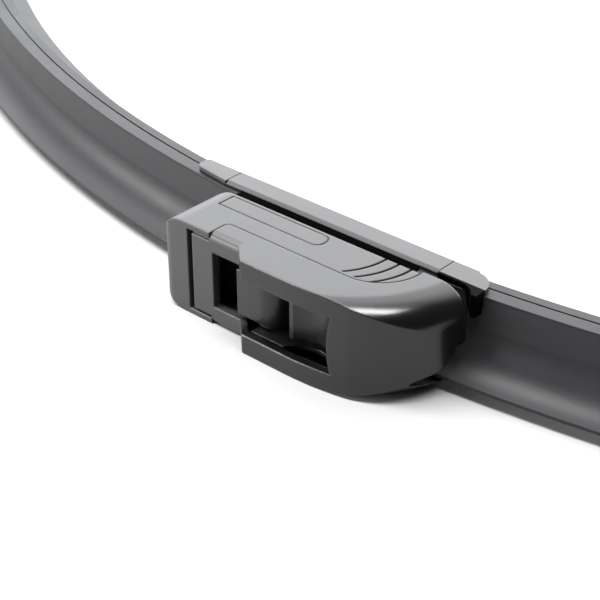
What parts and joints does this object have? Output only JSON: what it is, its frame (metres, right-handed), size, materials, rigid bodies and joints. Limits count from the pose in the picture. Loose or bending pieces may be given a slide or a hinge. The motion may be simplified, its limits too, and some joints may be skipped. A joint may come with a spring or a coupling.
{
  "type": "windscreen wiper blade",
  "caption": "Flat beam wiper blade with an asymmetric spoiler, twin spring rails, wiping rubber, end caps and a rocking hook-arm connector with a sliding lock.",
  "frame": {"origin": "on the axis of the hook pin, in the plane of the connector's lower side face, which the blade lies on", "axes": "+X along the blade, +Y from the connector's window towards the wiping edge, +Z across the blade, up as it lies"},
  "size_m": [0.387, 0.09, 0.02],
  "materials": {
    "spoiler_rubber": "satin",
    "spring_steel": "brushed",
    "wiping_rubber": "matte",
    "cap_plastic": "matte",
    "bracket_steel": "satin",
    "base_plastic": "matte",
    "pin_steel": "plain",
    "housing_plastic": "satin",
    "carrier_plastic": "satin",
    "lock_plastic": "matte"
  },
  "bodies": {
    "blade": {"spoiler_left": "spoiler_rubber", "spoiler_right": "spoiler_rubber", "leading_rail": "spring_steel", "trailing_rail": "spring_steel", "wiping_rubber": "wiping_rubber", "end_cap_left": "cap_plastic", "end_cap_right": "cap_plastic", "rail_clip_left": "spring_steel", "rail_clip_right": "spring_steel", "base_bracket": "bracket_steel", "base_shroud": "base_plastic", "hood_left": "base_plastic", "hood_right": "base_plastic", "pivot_pin": "pin_steel"},
    "connector": {"housing": "housing_plastic", "hook_carrier": "carrier_plastic"},
    "lock": {"lock_slide": "lock_plastic"}
  },
  "joints": [
    {"name": "connector_rock", "type": "hinge", "parent": "blade", "child": "connector", "pos_m": [0, 0, 0.01], "axis": [0, 0, 1], "range_deg": [-3, 1.6]},
    {"name": "lock_travel", "type": "slide", "parent": "connector", "child": "lock", "axis": [-1, 0, 0], "range_m": [0, 0.007]}
  ]
}
